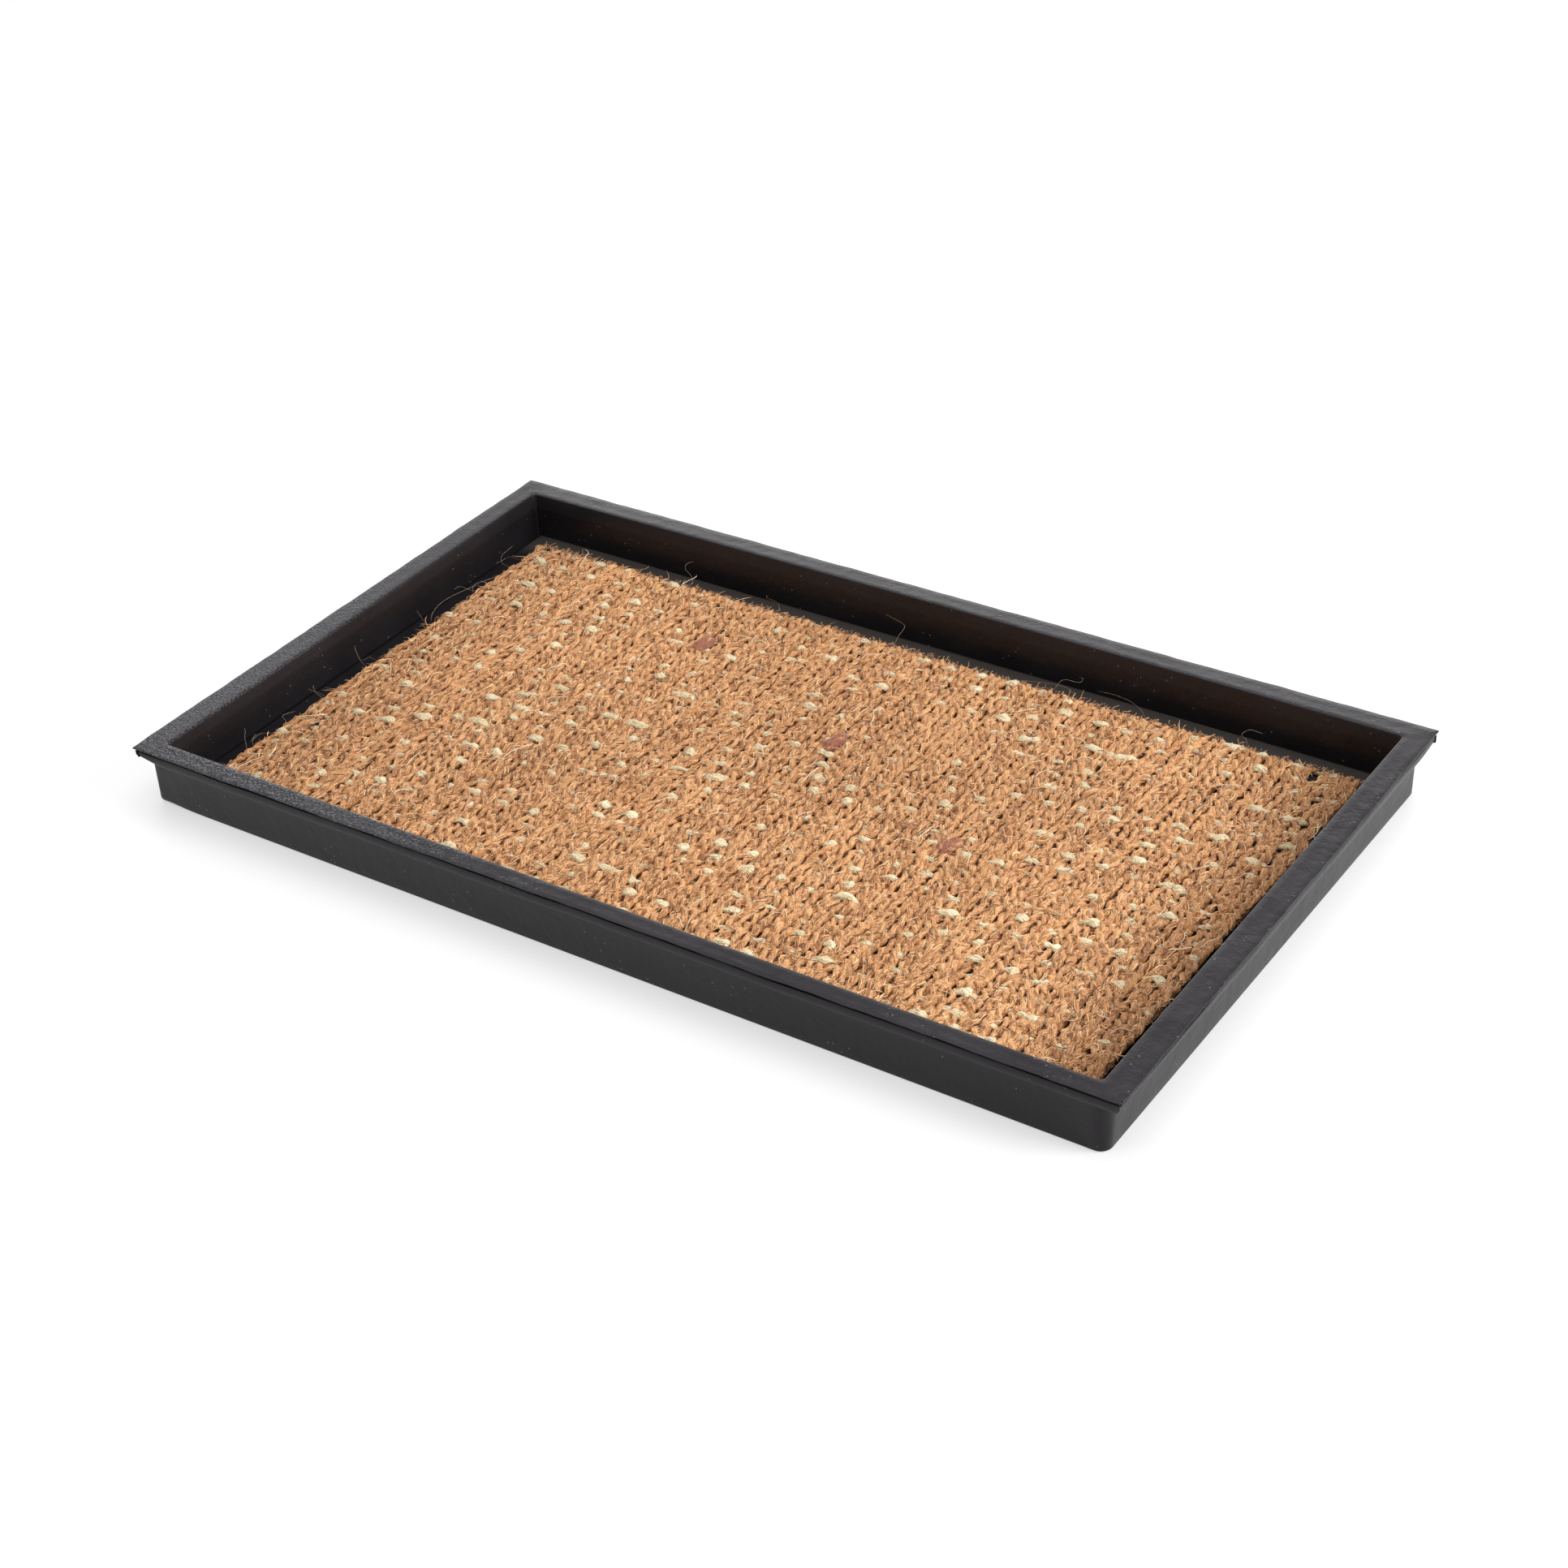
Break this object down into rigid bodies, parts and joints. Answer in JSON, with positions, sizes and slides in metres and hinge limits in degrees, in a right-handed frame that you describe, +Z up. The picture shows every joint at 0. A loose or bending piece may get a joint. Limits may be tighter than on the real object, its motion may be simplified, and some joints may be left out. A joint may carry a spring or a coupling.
{
  "type": "boot tray with coir insert",
  "caption": "Black moulded rubber boot tray with a flat rim, holding a loose mat woven from coir with ivory yarns through it.",
  "frame": {"origin": "on the surface the tray stands on, under the middle of its outline", "axes": "+X along the tray's length, -Y its front long side, +Z up out of the tray"},
  "size_m": [0.61, 0.355, 0.0365],
  "materials": {
    "moulded_rubber": "matt moulded rubber, smoked black with pale dust specks",
    "latex_backing": "black latex coat, matt",
    "coir_yarn": "two-ply twisted coconut fibre, hairy",
    "ivory_yarn": "undyed ivory yarn, soft and fuzzy"
  },
  "bodies": {
    "tray": {"tray": "moulded_rubber"},
    "insert": {"mat_backing": "latex_backing", "coir_panel": "coir_yarn", "ivory_yarn_01": "ivory_yarn", "ivory_yarn_02": "ivory_yarn", "ivory_yarn_03": "ivory_yarn", "ivory_yarn_04": "ivory_yarn", "ivory_yarn_05": "ivory_yarn", "ivory_yarn_06": "ivory_yarn", "ivory_yarn_07": "ivory_yarn", "ivory_yarn_08": "ivory_yarn", "ivory_yarn_09": "ivory_yarn", "ivory_yarn_10": "ivory_yarn", "ivory_yarn_11": "ivory_yarn", "ivory_yarn_12": "ivory_yarn", "ivory_yarn_13": "ivory_yarn", "ivory_yarn_14": "ivory_yarn", "ivory_yarn_15": "ivory_yarn", "ivory_yarn_16": "ivory_yarn", "ivory_yarn_17": "ivory_yarn", "ivory_yarn_18": "ivory_yarn", "ivory_yarn_19": "ivory_yarn", "ivory_yarn_20": "ivory_yarn", "ivory_yarn_21": "ivory_yarn", "ivory_yarn_22": "ivory_yarn", "ivory_yarn_23": "ivory_yarn", "ivory_yarn_24": "ivory_yarn"}
  },
  "joints": [
    {"name": "insert_lift", "type": "slide", "parent": "tray", "child": "insert", "axis": [0, 0, 1], "range_m": [0, 0.06]}
  ]
}
